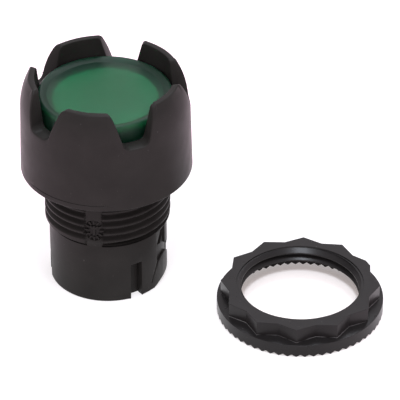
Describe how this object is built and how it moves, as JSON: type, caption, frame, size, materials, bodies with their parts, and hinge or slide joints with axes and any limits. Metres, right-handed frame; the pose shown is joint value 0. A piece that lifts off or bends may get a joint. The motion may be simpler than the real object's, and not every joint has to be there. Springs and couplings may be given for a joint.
{
  "type": "pushbutton switch operator",
  "caption": "Guarded illuminated pushbutton operator: green lens in a castellated guard on a threaded panel bushing with a bayonet barrel, its ring nut lying beside it.",
  "frame": {"origin": "on the button's axis at the rear end of the barrel, the mouth of the rear socket", "axes": "+Z along the button's axis, out of the panel towards the lens; -Y is the pictured front; the nut lies on the +X side"},
  "size_m": [0.0629, 0.0416, 0.0404],
  "materials": {
    "housing_black": "satin moulded black plastic, brownish",
    "seal_rubber": "matte black rubber",
    "lens_green": "clear green polycarbonate, polished",
    "diffuser_white": "milky translucent plastic",
    "plunger_black": "satin moulded black plastic",
    "spring_steel": "drawn steel wire",
    "nut_black": "satin moulded black plastic"
  },
  "bodies": {
    "housing_body": {"housing": "housing_black", "panel_gasket": "seal_rubber", "return_spring": "spring_steel", "mounting_nut": "nut_black"},
    "button": {"lens": "lens_green", "diffuser": "diffuser_white", "plunger": "plunger_black", "wiper_seal": "seal_rubber", "retaining_ring": "spring_steel"}
  },
  "joints": [
    {"name": "button_press", "type": "slide", "parent": "housing_body", "child": "button", "axis": [0, 0, -1], "range_m": [0, 0.005], "stiffness_N_per_m": 500, "springref_m": -0.006, "deforming": ["return_spring"]}
  ]
}
